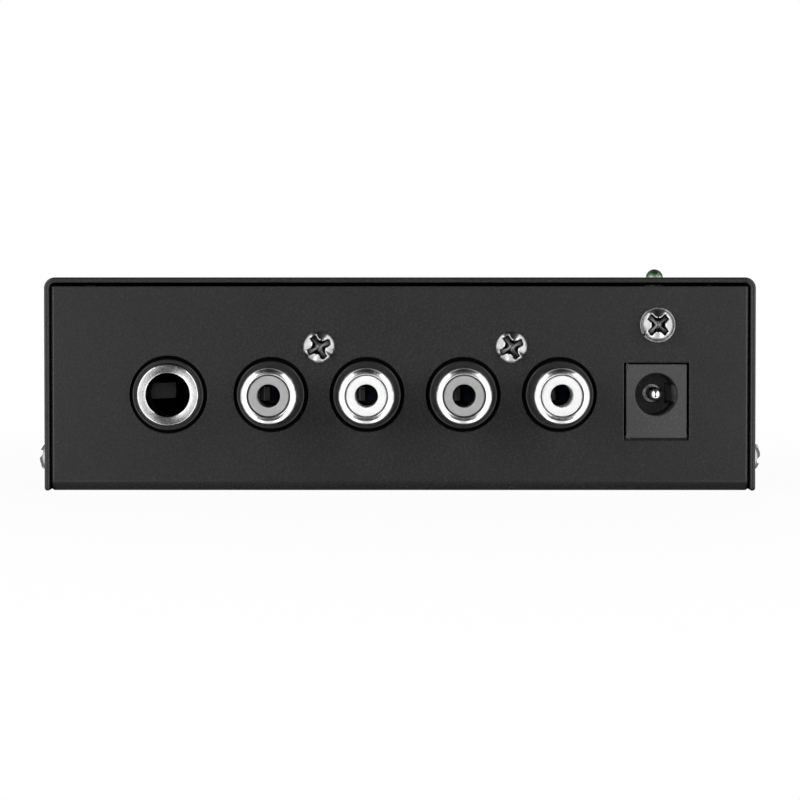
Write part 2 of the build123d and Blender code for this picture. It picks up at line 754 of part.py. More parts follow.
for number, (x, leaf) in enumerate(zip(rca_xs, rca_leaf_routes), start=1):
    with BuildPart() as rca_sleeve:
        sleeve_wall = (rca_sleeve_diameter - rca_sleeve_bore) / 2
        foot_wall = (rca_foot_diameter - rca_sleeve_bore) / 2
        with BuildSketch(socket_section(x, axis_z)) as wall:
            with Locations((rca_sleeve_bore / 2, rca_tip_y)):
                Rectangle(sleeve_wall, rca_shoulder_y - rca_tip_y, align=(Align.MIN, Align.MIN))
            mouth, lip = wall.vertices().group_by(Axis.Y)[0].sort_by(Axis.X)
            fillet(lip, rca_lip_radius)
            fillet(wall.vertices().sort_by_distance(mouth)[0], rca_mouth_radius)
            with Locations((rca_sleeve_bore / 2, rca_shoulder_y)):
                Rectangle(foot_wall, rca_seat_y - rca_shoulder_y, align=(Align.MIN, Align.MIN))
        revolve(axis=socket_axis(x, axis_z))
    rca_sleeve.part.label = f"rca_sleeve_{number}"
    export_step(rca_sleeve.part, f"parts/rca_sleeve_{number}.step")

    with BuildPart() as rca_insulator:
        with BuildSketch(facing_front(rca_insulator_front)):
            with Locations((x, axis_z)):
                Circle(rca_insulator_tip / 2)
        extrude(amount=-rca_insulator_neck)
        with BuildSketch(facing_front(rca_insulator_front + rca_insulator_neck)):
            with Locations((x, axis_z)):
                Circle(rca_sleeve_bore / 2 - fit_gap)
        extrude(amount=-(rca_seat_y - rca_insulator_front - rca_insulator_neck))
        with BuildSketch(facing_front(rca_insulator_front)):
            with Locations((x, axis_z)):
                Circle(rca_pin_bore / 2)
        extrude(amount=-(rca_seat_y - rca_insulator_front), mode=Mode.SUBTRACT)
    rca_insulator.part.label = f"rca_insulator_{number}"
    export_step(rca_insulator.part, f"parts/rca_insulator_{number}.step")

    with BuildPart() as rca_center_contact:
        add(spring_leaf(leaf, rca_leaf_height))
    rca_center_contact.part.label = f"rca_center_contact_{number}"
    export_step(rca_center_contact.part, f"parts/rca_center_contact_{number}.step")

with BuildPart() as rca_ground_tags:
    # One tab behind the foot of each sleeve, down through the board.
    tag_top = axis_z - rca_sleeve_bore / 2 - lead_gap
    with BuildSketch(Plane.XY.offset(lead_end)):
        with Locations(*rca_tag_places):
            Rectangle(rca_tag_width, tab_thickness)
    extrude(amount=tag_top - lead_end)
rca_ground_tags.part.label = "rca_ground_tags"
export_step(rca_ground_tags.part, "parts/rca_ground_tags.step")

with BuildPart() as rca_screws:
    screw = cross_screw(rca_screw_head, rca_screw_head_height, rca_screw_diameter, rca_screw_length, turn=28)
    seats = [
        Plane(origin=(pair_x, panel_out, axis_z + rca_screw_rise), x_dir=(1, 0, 0), z_dir=(0, -1, 0)).location
        for pair_x in (output_pair_x, input_pair_x)
    ]
    with Locations(*seats):
        add(screw)
rca_screws.part.label = "rca_screws"
export_step(rca_screws.part, "parts/rca_screws.step")

# =================================================================== power socket

dc_face_y = panel_out + dc_setback
dc_center_z = board_top + dc_height / 2
dc_bore_end = dc_face_y + dc_bore_depth
leaf_slot_height = jack_leaf_height + 2 * screw_gap

with BuildPart() as dc_housing:
    with BuildSketch(facing_front(dc_face_y)):
        with Locations((dc_x, dc_center_z)):
            RectangleRounded(dc_width, dc_height, dc_corner_radius)
    extrude(amount=-dc_depth)
    with BuildSketch(facing_front(dc_face_y)):
        with Locations((dc_x, axis_z)):
            Circle(dc_bore / 2)
    extrude(amount=-dc_bore_depth, mode=Mode.SUBTRACT)
    with BuildSketch(facing_front(dc_bore_end)):
        with Locations((dc_x, axis_z)):
            Circle(dc_pin_tail / 2 + fit_gap)
    extrude(amount=-(dc_depth - dc_bore_depth), mode=Mode.SUBTRACT)
    # Side window for the sleeve spring and slots down to the board for its leg and switch tab.
    slot_inner = dc_x + dc_bore / 3
    slot_outer = dc_x + dc_width / 2
    leg_y = dc_spring_route[0][1]
    window_front = dc_spring_end_y - tab_width
    window_rear = leg_y + leaf_leg_diameter / 2 + screw_gap
    with BuildSketch(Plane.XY.offset(axis_z - leaf_slot_height / 2)):
        with Locations(((slot_inner + slot_outer) / 2, (window_front + window_rear) / 2)):
            Rectangle(slot_outer - slot_inner, window_rear - window_front)
    extrude(amount=leaf_slot_height, mode=Mode.SUBTRACT)
    leg_slot = leaf_leg_diameter + 2 * screw_gap
    with BuildSketch(Plane.XY.offset(board_top)):
        leg_x = dc_spring_route[0][0]
        with Locations(((leg_x - leg_slot / 2 + slot_outer) / 2, leg_y)):
            Rectangle(slot_outer - leg_x + leg_slot / 2, leg_slot)
        tab_slot_inner = dc_switch_x - tab_thickness / 2 - lead_gap
        with Locations(((tab_slot_inner + slot_outer) / 2, dc_switch_place[1])):
            Rectangle(slot_outer - tab_slot_inner, tab_width + 2 * lead_gap)
    extrude(amount=axis_height - leaf_slot_height / 2, mode=Mode.SUBTRACT)
dc_housing.part.label = "dc_housing"
export_step(dc_housing.part, "parts/dc_housing.step")

with BuildPart() as dc_pin:
    pin_tip = dc_face_y + dc_pin_setback
    with BuildSketch(facing_front(dc_bore_end)):
        with Locations((dc_x, axis_z)):
            Circle(dc_pin_diameter / 2)
    extrude(amount=dc_bore_end - pin_tip)
    fillet(dc_pin.edges().sort_by(Axis.Y)[0], dc_pin_nose_radius)
    with BuildSketch(facing_front(dc_bore_end)):
        with Locations((dc_x, axis_z)):
            Circle(dc_pin_foot / 2)
    extrude(amount=dc_pin_foot_length)
    with BuildSketch(facing_front(dc_bore_end)):
        with Locations((dc_x, axis_z)):
            Circle(dc_pin_tail / 2)
    extrude(amount=-(dc_tag_y - dc_bore_end))
    with BuildSketch(facing_front(dc_tag_y)):
        tag_top = axis_z + dc_tag_rise
        with Locations((dc_x, (tag_top + lead_end) / 2)):
            Rectangle(dc_tag_width, tag_top - lead_end)
    extrude(amount=-dc_tag_thickness)
dc_pin.part.label = "dc_pin"
export_step(dc_pin.part, "parts/dc_pin.step")

with BuildPart() as dc_spring:
    add(spring_leaf(dc_spring_route, jack_leaf_height))
dc_spring.part.label = "dc_spring"
export_step(dc_spring.part, "parts/dc_spring.step")

with BuildPart() as dc_switch_contact:
    # Post that the spring's free end rests against while no plug is in.
    with BuildSketch(Plane.XY.offset(lead_end)):
        with Locations(dc_switch_place):
            Rectangle(tab_thickness, tab_width)
    extrude(amount=axis_z - jack_leaf_height / 2 + dc_switch_overlap - lead_end)
dc_switch_contact.part.label = "dc_switch_contact"
export_step(dc_switch_contact.part, "parts/dc_switch_contact.step")

# ================================================================ ground terminal

ground_center = (ground_x, ground_z)

with BuildPart() as ground_washer:
    with BuildSketch(facing_front(panel_out)):
        with Locations(ground_center):
            Circle(ground_washer_diameter / 2)
            Circle(ground_washer_bore / 2, mode=Mode.SUBTRACT)
        with Locations(Location((ground_x, ground_z), ground_washer_split_angle)):
            with Locations((ground_washer_diameter / 2, 0)):
                Rectangle(ground_washer_diameter, ground_washer_split, mode=Mode.SUBTRACT)
    extrude(amount=ground_washer_thickness)
ground_washer.part.label = "ground_washer"
export_step(ground_washer.part, "parts/ground_washer.step")

with BuildPart() as ground_screw:
    seat = Plane(
        origin=(ground_x, panel_out - ground_washer_thickness, ground_z), x_dir=(1, 0, 0), z_dir=(0, -1, 0)
    )
    screw = cross_screw(
        ground_screw_head, ground_screw_head_height, ground_screw_diameter, ground_screw_length, turn=45
    )
    with Locations(seat.location):
        add(screw)
ground_screw.part.label = "ground_screw"
export_step(ground_screw.part, "parts/ground_screw.step")

with BuildPart() as ground_lug:
    tail_length = ground_lug_tail + ground_lug_tail_width / 2
    with BuildSketch(facing_front(panel_in)):
        with Locations(ground_center):
            Circle(ground_lug_diameter / 2)
        with Locations((ground_x - ground_lug_tail / 2, ground_z)):
            SlotOverall(tail_length, ground_lug_tail_width)
        with Locations(ground_center):
            Circle(ground_screw_diameter / 2 + screw_gap, mode=Mode.SUBTRACT)
    extrude(amount=-ground_lug_thickness)
ground_lug.part.label = "ground_lug"
export_step(ground_lug.part, "parts/ground_lug.step")

with BuildPart() as ground_nut:
    with BuildSketch(facing_front(panel_in + ground_lug_thickness)):
        with Locations(ground_center):
            RegularPolygon(ground_nut_across_flats / sqrt(3), 6)
            Circle(ground_screw_diameter / 2 + running_gap, mode=Mode.SUBTRACT)
    extrude(amount=-ground_nut_thickness)
ground_nut.part.label = "ground_nut"
export_step(ground_nut.part, "parts/ground_nut.step")

# Ground wire: back from the lug's tail, then down to the board.
wire_x = ground_x - ground_lug_tail + 0.8
wire_y = panel_in + ground_lug_thickness
ground_wire_route = [
    Vector(wire_x, wire_y, ground_z),
    Vector(wire_x, wire_y + 5.0, ground_z),
    Vector(wire_x - 0.3, wire_y + 9.5, ground_z - 2.6),
    Vector(wire_x - 0.6, wire_y + 11.6, ground_z - 7.4),
    Vector(wire_x - 0.6, wire_y + 11.6, board_top),
]


def bend_radii(route):
    """Arc radius at each inner point: 0.45 of the shorter run, over the tangent of half the turn."""
    radii = []
    for before, corner, after in zip(route, route[1:], route[2:]):
        turn = (corner - before).get_angle(after - corner)
        shorter_run = min((corner - before).length, (after - corner).length)
        radii.append(0.45 * shorter_run / tan(radians(turn) / 2))
    return radii


with BuildPart() as ground_wire:
    wire_radii = bend_radii(ground_wire_route)
    print("ground wire bend radii", [round(radius, 2) for radius in wire_radii])
    with BuildLine() as wire_path:
        FilletPolyline(*ground_wire_route, radius=wire_radii)
    with BuildSketch(Plane(origin=wire_path.line @ 0, z_dir=wire_path.line % 0)):
        Circle(ground_wire_diameter / 2)
    sweep()
ground_wire.part.label = "ground_wire"
export_step(ground_wire.part, "parts/ground_wire.step")

# ========================================================================== lamp

with BuildPart() as power_led:
    with BuildSketch(Plane.XY.offset(led_base_z)):
        with Locations((led_x, led_y)):
            Circle(led_flange_diameter / 2)
    extrude(amount=led_flange_thickness)
    with BuildSketch(Plane.XY.offset(led_base_z)):
        with Locations((led_x, led_y)):
            Circle(led_diameter / 2)
    extrude(amount=led_body_height - led_diameter / 2)
    with Locations((led_x, led_y, led_base_z + led_body_height - led_diameter / 2)):
        Sphere(led_diameter / 2)
power_led.part.label = "power_led"
export_step(power_led.part, "parts/power_led.step")

with BuildPart() as led_spacer:
    with BuildSketch(Plane.XY.offset(board_top)):
        with Locations((led_x, led_y)):
            Circle(led_spacer_diameter / 2)
        with Locations(*pair_points([(led_x, led_y)], led_lead_pitch)):
            Circle(lead_diameter / 2 + running_gap, mode=Mode.SUBTRACT)
    extrude(amount=led_base_z - board_top)
led_spacer.part.label = "led_spacer"
export_step(led_spacer.part, "parts/led_spacer.step")

with BuildPart() as led_leads:
    with BuildSketch(Plane.XY.offset(led_base_z)):
        with Locations(*pair_points([(led_x, led_y)], led_lead_pitch)):
            Circle(lead_diameter / 2)
    extrude(amount=lead_end - led_base_z)
led_leads.part.label = "led_leads"
export_step(led_leads.part, "parts/led_leads.step")

# =============================================================== parts on the board

with BuildPart() as opamp_bodies:
    with BuildSketch(Plane.XY.offset(board_top + opamp_lift)):
        with Locations(*opamp_places):
            Rectangle(opamp_width, opamp_length)
    extrude(amount=opamp_height)
    with BuildSketch(Plane.XY.offset(board_top + opamp_lift + opamp_height)):
        with Locations(*[(x, y + opamp_length / 2) for x, y in opamp_places]):
            Circle(opamp_notch_radius)
    extrude(amount=-opamp_notch_depth, mode=Mode.SUBTRACT)
opamp_bodies.part.label = "opamp_bodies"
export_step(opamp_bodies.part, "parts/opamp_bodies.step")

with BuildPart() as opamp_pins:
    shoulder_z = board_top + opamp_lift + opamp_height / 2
    shoulder = (opamp_row_width - opamp_width) / 2
    for x, y in opamp_places:
        for side in (-1, 1):
            rows = [y + row for row in opamp_pin_rows]
            with BuildSketch(Plane.XY.offset(lead_end)):
                with Locations(*[(x + side * opamp_row_width / 2, row) for row in rows]):
                    Rectangle(opamp_pin_thickness, opamp_pin_width)
            extrude(amount=shoulder_z - lead_end)
            with BuildSketch(Plane.XY.offset(shoulder_z)):
                with Locations(*[(x + side * (opamp_width + shoulder) / 2, row) for row in rows]):
                    Rectangle(shoulder, opamp_pin_width)
                with Locations(*[(x + side * opamp_row_width / 2, row) for row in rows]):
                    Rectangle(opamp_pin_thickness, opamp_pin_width)
            extrude(amount=-opamp_pin_thickness)
opamp_pins.part.label = "opamp_pins"
export_step(opamp_pins.part, "parts/opamp_pins.step")

with BuildPart() as coupling_capacitors:
    with Locations(*on_board(small_can_places)):
        Cylinder(small_can_diameter / 2, small_can_height, align=(Align.CENTER, Align.CENTER, Align.MIN))
    fillet(coupling_capacitors.faces().filter_by(Axis.Z).group_by(Axis.Z)[-1].edges(), can_rim_radius)
coupling_capacitors.part.label = "coupling_capacitors"
export_step(coupling_capacitors.part, "parts/coupling_capacitors.step")

with BuildPart() as supply_capacitors:
    with Locations(*on_board(large_can_places)):
        Cylinder(large_can_diameter / 2, large_can_height, align=(Align.CENTER, Align.CENTER, Align.MIN))
    fillet(supply_capacitors.faces().filter_by(Axis.Z).group_by(Axis.Z)[-1].edges(), can_rim_radius)
supply_capacitors.part.label = "supply_capacitors"
export_step(supply_capacitors.part, "parts/supply_capacitors.step")

with BuildPart() as film_capacitors:
    with BuildSketch(Plane.XY.offset(board_top)):
        with Locations(*film_places):
            Rectangle(film_length, film_width)
    extrude(amount=film_height)
    fillet(film_capacitors.edges().filter_by(Axis.Z), moulded_radius)
film_capacitors.part.label = "film_capacitors"
export_step(film_capacitors.part, "parts/film_capacitors.step")

with BuildPart() as radial_leads:
    # Straight leads of all the capacitors, from the board's face down.
    with BuildSketch(Plane.XY.offset(board_top)):
        with Locations(
            *pair_points(small_can_places, small_can_lead_pitch),
            *pair_points(large_can_places, large_can_lead_pitch),
            *pair_points(film_places, film_lead_pitch),
        ):
            Circle(lead_diameter / 2)
    extrude(amount=lead_end - board_top)
radial_leads.part.label = "radial_leads"
export_step(radial_leads.part, "parts/radial_leads.step")

resistor_height = resistor_diameter / 2 + axial_rest_gap
with BuildPart() as resistor_bodies:
    for x, y in resistor_places:
        with Locations(Location((x, y, board_top + resistor_height), (0, 90, 0))):
            Cylinder(resistor_diameter / 2, resistor_length)
    fillet(resistor_bodies.edges().filter_by(GeomType.CIRCLE), resistor_end_radius)
resistor_bodies.part.label = "resistor_bodies"
export_step(resistor_bodies.part, "parts/resistor_bodies.step")

resistor_lead_pair = axial_leads(resistor_length, resistor_lead_pitch, resistor_height)
with BuildPart() as resistor_leads:
    with Locations(*on_board(resistor_places)):
        add(resistor_lead_pair)
resistor_leads.part.label = "resistor_leads"
export_step(resistor_leads.part, "parts/resistor_leads.step")

diode_height = diode_diameter / 2 + axial_rest_gap
with BuildPart() as rectifier_diode:
    with Locations(Location((*diode_place, board_top + diode_height), (0, 90, 0))):
        Cylinder(diode_diameter / 2, diode_length)
rectifier_diode.part.label = "rectifier_diode"
export_step(rectifier_diode.part, "parts/rectifier_diode.step")

diode_lead_pair = axial_leads(diode_length, diode_lead_pitch, diode_height)
with BuildPart() as diode_leads:
    with Locations(*on_board([diode_place])):
        add(diode_lead_pair)
diode_leads.part.label = "diode_leads"
export_step(diode_leads.part, "parts/diode_leads.step")

with BuildPart() as voltage_regulator:
    with BuildSketch(Plane.XY.offset(board_top + regulator_lift)):
        with Locations(regulator_place):
            Circle(regulator_diameter / 2)
        flat_cut = regulator_diameter / 2
        with Locations((regulator_place[0], regulator_place[1] - regulator_flat - flat_cut / 2)):
            Rectangle(regulator_diameter, flat_cut, mode=Mode.SUBTRACT)
    extrude(amount=regulator_height)
voltage_regulator.part.label = "voltage_regulator"
export_step(voltage_regulator.part, "parts/voltage_regulator.step")

with BuildPart() as regulator_leads:
    with BuildSketch(Plane.XY.offset(board_top + regulator_lift)):
        with Locations(*regulator_lead_places):
            Rectangle(regulator_lead_width, regulator_lead_thickness)
    extrude(amount=lead_end - board_top - regulator_lift)
regulator_leads.part.label = "regulator_leads"
export_step(regulator_leads.part, "parts/regulator_leads.step")
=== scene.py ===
"""Looks of the phono preamp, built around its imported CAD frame. The connector side faces -Y.

Turned pieces and screws are modelled here in millimetres and placed by the CAD nodes they stand for. All
else keeps its CAD shape and gets a finish, and the tray, the socket bodies and the lock washer also get
rounded edges.
"""

import json
import math

import bmesh
import bpy
from mathutils import Matrix, Vector

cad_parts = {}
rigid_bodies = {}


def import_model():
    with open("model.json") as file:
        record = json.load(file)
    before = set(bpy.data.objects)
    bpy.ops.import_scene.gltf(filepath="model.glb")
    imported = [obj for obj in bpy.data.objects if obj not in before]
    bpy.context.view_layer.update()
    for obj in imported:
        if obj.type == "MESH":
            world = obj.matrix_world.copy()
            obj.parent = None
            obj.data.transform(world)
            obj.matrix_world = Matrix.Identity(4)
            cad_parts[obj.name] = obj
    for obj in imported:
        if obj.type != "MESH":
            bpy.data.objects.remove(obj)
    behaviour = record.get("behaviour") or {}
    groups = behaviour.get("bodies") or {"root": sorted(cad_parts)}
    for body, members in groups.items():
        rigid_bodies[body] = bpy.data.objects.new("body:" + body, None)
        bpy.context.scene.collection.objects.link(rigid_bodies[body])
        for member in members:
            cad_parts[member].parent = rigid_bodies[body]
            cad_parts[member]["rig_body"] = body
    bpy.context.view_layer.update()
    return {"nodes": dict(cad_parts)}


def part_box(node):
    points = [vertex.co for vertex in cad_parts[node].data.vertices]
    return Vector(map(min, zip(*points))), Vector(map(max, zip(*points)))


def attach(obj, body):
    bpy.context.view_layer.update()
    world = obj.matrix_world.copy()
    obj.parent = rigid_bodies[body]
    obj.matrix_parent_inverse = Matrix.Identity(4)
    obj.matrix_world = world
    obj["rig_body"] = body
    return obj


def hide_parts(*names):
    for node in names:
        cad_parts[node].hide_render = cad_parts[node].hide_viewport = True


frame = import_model()
nodes = frame["nodes"]
slots = {name: node.material_slots[0].material.name for name, node in nodes.items()}
for imported in list(bpy.data.materials):
    bpy.data.materials.remove(imported)
scene = bpy.context.scene

MM = 0.001
panel_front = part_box("chassis")[0].y
case_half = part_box("top_cover")[1]
camera_place = (0.76, -479.6, 26.7)  # in millimetres, as the three points below
camera_aim = (0.02, -29.6, 13.4)
panel_centre = (0.0, -29.6, 15.0)
rear_centre = (0.0, 30.0, 15.0)


# ------------------------------------------------------------------------- camera
def place_camera():
    data = bpy.data.cameras.new("camera")
    data.sensor_width = 36.0
    data.lens = 137.2
    data.clip_start = 0.01
    data.clip_end = 50.0
    camera = bpy.data.objects.new("camera", data)
    scene.collection.objects.link(camera)
    camera.location = Vector(camera_place) * MM
    aim = Vector(camera_aim) * MM
    camera.rotation_mode = "QUATERNION"
    camera.rotation_quaternion = (aim - camera.location).to_track_quat("-Z", "Y")
    scene.camera = camera
    scene.view_settings.view_transform = "Standard"


# ---------------------------------------------------------------------- materials
class Shader:
    """A Principled material, with short calls for the nodes that vary it."""

    def __init__(self, name, color, roughness, metallic=0.0, **sockets):
        self.material = bpy.data.materials.new(name)
        self.material.use_nodes = True
        self.tree = self.material.node_tree
        self.surface = self.tree.nodes["Principled BSDF"]
        self.surface.inputs["Base Color"].default_value = (*color, 1.0)
        self.surface.inputs["Roughness"].default_value = roughness
        self.surface.inputs["Metallic"].default_value = metallic
        for socket, value in sockets.items():
            self.surface.inputs[socket.replace("_", " ")].default_value = value
        self.place = self.tree.nodes.new("ShaderNodeTexCoord").outputs["Object"]
        self.normal = None

    def link(self, source, target):
        self.tree.links.new(source, target)

    def noise(self, size, detail=2.0):
        """Noise from 0 to 1 with features of the given size in metres."""
        texture = self.tree.nodes.new("ShaderNodeTexNoise")
        texture.inputs["Scale"].default_value = 1.0 / size
        texture.inputs["Detail"].default_value = detail
        self.link(self.place, texture.inputs["Vector"])
        return texture.outputs["Fac"]

    def ramp(self, source, stops):
        """A colour ramp over (position, grey or colour) stops."""
        node = self.tree.nodes.new("ShaderNodeValToRGB")
        elements = node.color_ramp.elements
        while len(elements) < len(stops):
            elements.new(0.5)
        for element, (position, value) in zip(elements, stops):
            element.position = position
            rgb = value if isinstance(value, tuple) else (value,) * 3
            element.color = (*rgb, 1.0)
        self.link(source, node.inputs["Fac"])
        return node.outputs["Color"]

    def mix(self, factor, first, second):
        """Mix of two colours; each value is a number, a tuple or an output."""
        node = self.tree.nodes.new("ShaderNodeMix")
        node.data_type = "RGBA"
        for socket, value in ((node.inputs[0], factor), (node.inputs[6], first), (node.inputs[7], second)):
            if isinstance(value, (int, float)):
                socket.default_value = value
            elif isinstance(value, tuple):
                socket.default_value = (*value, 1.0)
            else:
                self.link(value, socket)
        return node.outputs[2]

    def range(self, source, low, high, to_low, to_high):
        """A number mapped in a straight line from one range to another."""
        node = self.tree.nodes.new("ShaderNodeMapRange")
        node.inputs["From Min"].default_value = low
        node.inputs["From Max"].default_value = high
        node.inputs["To Min"].default_value = to_low
        node.inputs["To Max"].default_value = to_high
        self.link(source, node.inputs["Value"])
        return node.outputs["Result"]

    def bump(self, height, depth):
        """Adds a relief of the given depth in metres."""
        node = self.tree.nodes.new("ShaderNodeBump")
        node.inputs["Distance"].default_value = depth
        self.link(height, node.inputs["Height"])
        if self.normal is not None:
            self.link(self.normal, node.inputs["Normal"])
        self.normal = node.outputs["Normal"]
        self.link(self.normal, self.surface.inputs["Normal"])

    def color(self, source):
        self.link(source, self.surface.inputs["Base Color"])

    def roughness(self, source):
        self.link(source, self.surface.inputs["Roughness"])

    def turned(self, strength):
        """Turning marks that run round the piece's own Y axis."""
        tangent = self.tree.nodes.new("ShaderNodeTangent")
        tangent.direction_type = "RADIAL"
        tangent.axis = "Y"
        self.surface.inputs["Anisotropic"].default_value = strength
        self.surface.inputs["Anisotropic Rotation"].default_value = 0.25
        self.link(tangent.outputs["Tangent"], self.surface.inputs["Tangent"])

    def paint_recess_shade(self, level):
        """Paints shade: fades the colour to a dark one where the mesh's "recess" attribute says so."""
        attribute = self.tree.nodes.new("ShaderNodeAttribute")
        attribute.attribute_name = "recess"
        plating = self.surface.inputs["Base Color"].links[0].from_socket
        self.color(self.mix(attribute.outputs["Fac"], plating, (level, level, level)))


def shades(color, *factors):
    return [tuple(min(1.0, factor * channel) for channel in color) for factor in factors]


def powder_coat():
    """Dark grey textured paint: a fine pebbled relief, faint clouds and a few light specks."""
    s = Shader("case_paint", (0.018, 0.018, 0.018), 0.28, Specular_IOR_Level=0.45)
    grain = s.noise(0.36 * MM, 3.0)
    clouds = s.noise(11 * MM, 2.0)
    flecks = s.noise(0.42 * MM, 1.0)
    pebbled = s.ramp(grain, [(0.3, 0.014), (0.7, 0.021)])
    clouded = s.ramp(clouds, [(0.3, 0.015), (0.7, 0.02)])
    base = s.mix(0.5, pebbled, clouded)
    s.color(s.mix(s.ramp(flecks, [(0.76, 0.0), (0.82, 1.0)]), base, (0.06, 0.06, 0.06)))
    s.roughness(s.range(grain, 0.3, 0.7, 0.25, 0.29))
    s.bump(grain, 0.003 * MM)
    return s.material


def bright_plate(name, color, roughness, streak, relief=0.004, pitting=0.0, metallic=1.0):
    """Plated metal with a fine uneven sheen, slightly darker clouds and pitting; depths in millimetres."""
    s = Shader(name, color, roughness, metallic)
    fine = s.noise(0.14 * MM, 3.0)
    if pitting:
        s.bump(s.range(s.noise(0.26 * MM, 2.0), 0.52, 0.72, 0.0, 1.0), pitting * MM)
    dark, full = shades(color, 0.86, 1.0)
    s.color(s.ramp(s.noise(0.9 * MM, 3.0), [(0.35, dark), (0.6, full)]))
    s.roughness(s.range(fine, 0.3, 0.7, roughness, roughness + streak))
    s.bump(fine, relief * MM)
    return s


def moulded(name, color, roughness, grain, fleck=0.0, relief=0.01, mottle=0.15):
    """Moulded plastic or lacquer with a mottled grain, and light flecks where it is filled; sizes in mm."""
    s = Shader(name, color, roughness)
    texture = s.noise(grain * MM, 3.0)
    dark, light = shades(color, 1.0 - mottle, 1.0 + mottle)
    base = s.ramp(texture, [(0.3, dark), (0.7, light)])
    if fleck:
        bright = tuple(channel + fleck for channel in color)
        base = s.mix(s.ramp(s.noise(0.3 * MM, 1.0), [(0.52, 0.0), (0.7, 1.0)]), base, bright)
    s.color(base)
    s.roughness(s.range(texture, 0.3, 0.7, roughness - 0.06, roughness + 0.08))
    s.bump(texture, relief * MM)
    return s


def socket_plastic():
    """Black plastic: the collars in front of the panel are polished; the bodies behind it are matt, with
    painted shade that makes them darker.
    """
    polish, matt = 0.26, 0.7
    s = moulded("socket_black", (0.01, 0.01, 0.01), polish, grain=0.22)
    place = s.tree.nodes.new("ShaderNodeSeparateXYZ")
    s.link(s.place, place.inputs[0])
    behind = s.range(place.outputs["Y"], panel_front, panel_front + 0.2 * MM, 0.0, 1.0)
    polished = s.surface.inputs["Base Color"].links[0].from_socket
    # Painted shade: behind the panel the colour drops to near black.
    s.color(s.mix(behind, polished, (0.002, 0.002, 0.002)))
    s.roughness(s.range(behind, 0.0, 1.0, polish, matt))
    s.link(s.range(behind, 0.0, 1.0, 0.5, 0.05), s.surface.inputs["Specular IOR Level"])
    return s


def screw_plate():
    """Nickel with painted shade that makes it dark down in the recess."""
    s = bright_plate("screw_nickel", (0.68, 0.68, 0.68), 0.14, 0.08, relief=0.002, pitting=0.003)
    s.paint_recess_shade(0.015)
    return s


def chrome_ring():
    """Turned chrome, with painted shade that makes it dark down in its bore."""
    s = bright_plate("bushing_chrome", (0.9, 0.9, 0.9), 0.19, 0.06, relief=0.0008, pitting=0.003)
    s.turned(0.9)
    s.paint_recess_shade(0.006)
    return s


def tinted_epoxy():
    """Green epoxy of the lamp with painted light and shade: paler towards the cover and dark at its top."""
    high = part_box("power_led")[1]
    cover_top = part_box("top_cover")[1].z
    s = Shader("led_green", (0.4, 0.7, 0.42), 0.08, Transmission_Weight=0.85, IOR=1.5)
    place = s.tree.nodes.new("ShaderNodeSeparateXYZ")
    s.link(s.place, place.inputs[0])
    level = s.range(place.outputs["Z"], cover_top, high.z, 0.0, 1.0)
    pale, middle, dark = (0.9, 0.98, 0.9), (0.3, 0.6, 0.3), (0.04, 0.12, 0.04)
    # Painted light and shade: the pale lower band stands in for light through the dome, the dark top for
    # shade.
    painted_light_and_shade = s.ramp(level, [(0.2, pale), (0.4, middle), (0.6, dark)])
    cloud = s.noise(0.8 * MM, 2.0)
    s.color(s.mix(s.range(cloud, 0.3, 0.7, 0.0, 0.15), painted_light_and_shade, (0.1, 0.25, 0.1)))
    s.bump(cloud, 0.002 * MM)
    return s


def make_finishes():
    made = [
        screw_plate(),
        bright_plate("zinc_steel", (0.4, 0.4, 0.41), 0.28, 0.12),
        moulded("board_laminate", (0.004, 0.028, 0.013), 0.35, grain=0.5),
        socket_plastic(),
        moulded("dc_black", (0.04, 0.04, 0.04), 0.45, grain=0.24, fleck=0.035),
        chrome_ring(),
        bright_plate("sleeve_nickel", (0.92, 0.92, 0.92), 0.14, 0.08, relief=0.002, pitting=0.004),
        bright_plate("contact_metal", (0.75, 0.75, 0.74), 0.3, 0.1, metallic=0.6),
        moulded("insulator_grey", (0.4, 0.4, 0.4), 0.35, grain=0.4, mottle=0.06),
        moulded("insulator_white", (0.96, 0.96, 0.96), 0.35, grain=0.4, mottle=0.03),
        moulded("wire_green", (0.05, 0.3, 0.08), 0.35, grain=0.4),
        tinted_epoxy(),
        moulded("component_black", (0.03, 0.03, 0.03), 0.5, grain=0.15),
        bright_plate("lead_tin", (0.7, 0.7, 0.7), 0.3, 0.1),
        moulded("can_sleeve", (0.02, 0.03, 0.06), 0.3, grain=0.5),
        moulded("film_red", (0.4, 0.05, 0.03), 0.25, grain=0.6),
        moulded("resistor_blue", (0.12, 0.3, 0.45), 0.3, grain=0.3),
    ]
    by_slot = {shader.material.name: shader.material for shader in made}
    by_slot["case_paint"] = powder_coat()
    return by_slot


# ------------------------------------------------------------------ shapes, in mm
def arc_corner(before, corner, after, radius, steps=5):
    """Points along the rounding of one corner of an outline."""
    back, ahead = (before - corner).normalized(), (after - corner).normalized()
    half = back.angle(ahead) / 2
    centre = corner + (back + ahead).normalized() * radius / math.sin(half)
    reach = radius / math.tan(half)
    start, end = corner + back * reach - centre, corner + ahead * reach - centre
    first = math.atan2(start.y, start.x)
    sweep = (math.atan2(end.y, end.x) - first + math.pi) % (2 * math.pi) - math.pi
    angles = [first + sweep * step / steps for step in range(steps + 1)]
    return [centre + radius * Vector((math.cos(angle), math.sin(angle))) for angle in angles]


def rounded(outline):
    """Closed outline from (x, y, rounding radius) triples."""
    corners = [Vector((x, y)) for x, y, _ in outline]
    points = []
    for index, (_, _, radius) in enumerate(outline):
        corner = corners[index]
        if radius:
            after = corners[(index + 1) % len(corners)]
            points += arc_corner(corners[index - 1], corner, after, radius)
        else:
            points.append(corner)
    return points


